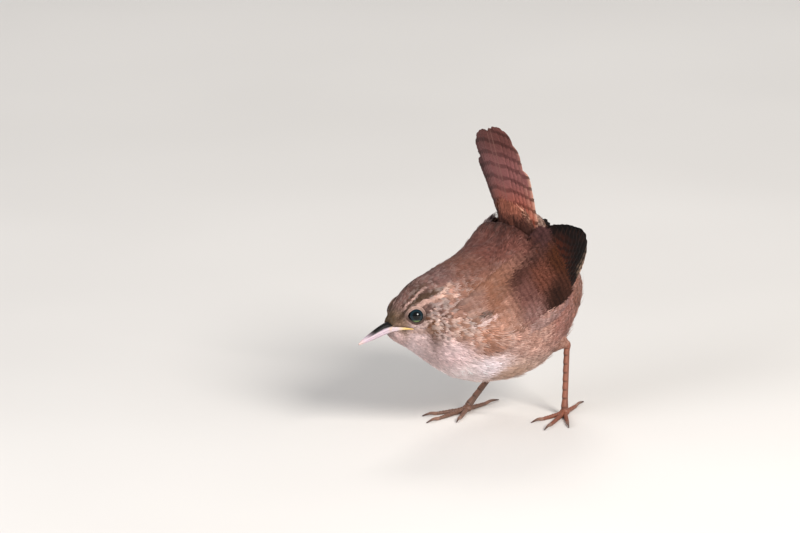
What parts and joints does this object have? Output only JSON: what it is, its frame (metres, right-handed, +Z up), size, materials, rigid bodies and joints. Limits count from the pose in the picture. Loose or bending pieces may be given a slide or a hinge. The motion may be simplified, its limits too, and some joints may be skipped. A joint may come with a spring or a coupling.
{
  "type": "wren",
  "caption": "Life-size still model of a wren, a tiny round brown songbird, crouched with its short tail cocked upright and a thin bill.",
  "frame": {"origin": "centre of the bounding box's underside, on the floor between the feet", "axes": "+Z up, the bill points towards -X, the bird's left side is -Y"},
  "size_m": [0.072, 0.0378, 0.0769],
  "materials": {
    "wing_feathers": "barred rufous-brown flight feathers",
    "tail_feathers": "barred rufous tail feathers",
    "crown_feathers": "short soft head feathers with a pale brow stripe",
    "neck_feathers": "soft feathers",
    "torso_feathers": "soft feathers, brown above and pale below",
    "rump_feathers": "loose soft feathers",
    "thigh_feathers": "short soft feathers",
    "culmen_horn": "dark horn, satin",
    "bill_horn": "pale horn, satin",
    "eye": "wet gloss",
    "leg_scales": "scaled skin, satin",
    "claw_horn": "horn, satin"
  },
  "bodies": {
    "root": {"head": "crown_feathers", "neck": "neck_feathers", "torso": "torso_feathers", "rump": "rump_feathers", "wing_left": "wing_feathers", "wing_right": "wing_feathers", "tail": "tail_feathers", "bill_upper": "culmen_horn", "bill_lower": "bill_horn", "eye_left": "eye", "eye_right": "eye", "thigh_left": "thigh_feathers", "thigh_right": "thigh_feathers", "tarsus_left": "leg_scales", "tarsus_right": "leg_scales", "foot_left": "leg_scales", "foot_right": "leg_scales", "claw_left_inner": "claw_horn", "claw_left_middle": "claw_horn", "claw_left_outer": "claw_horn", "claw_left_hind": "claw_horn", "claw_right_inner": "claw_horn", "claw_right_middle": "claw_horn", "claw_right_outer": "claw_horn", "claw_right_hind": "claw_horn"}
  },
  "joints": []
}
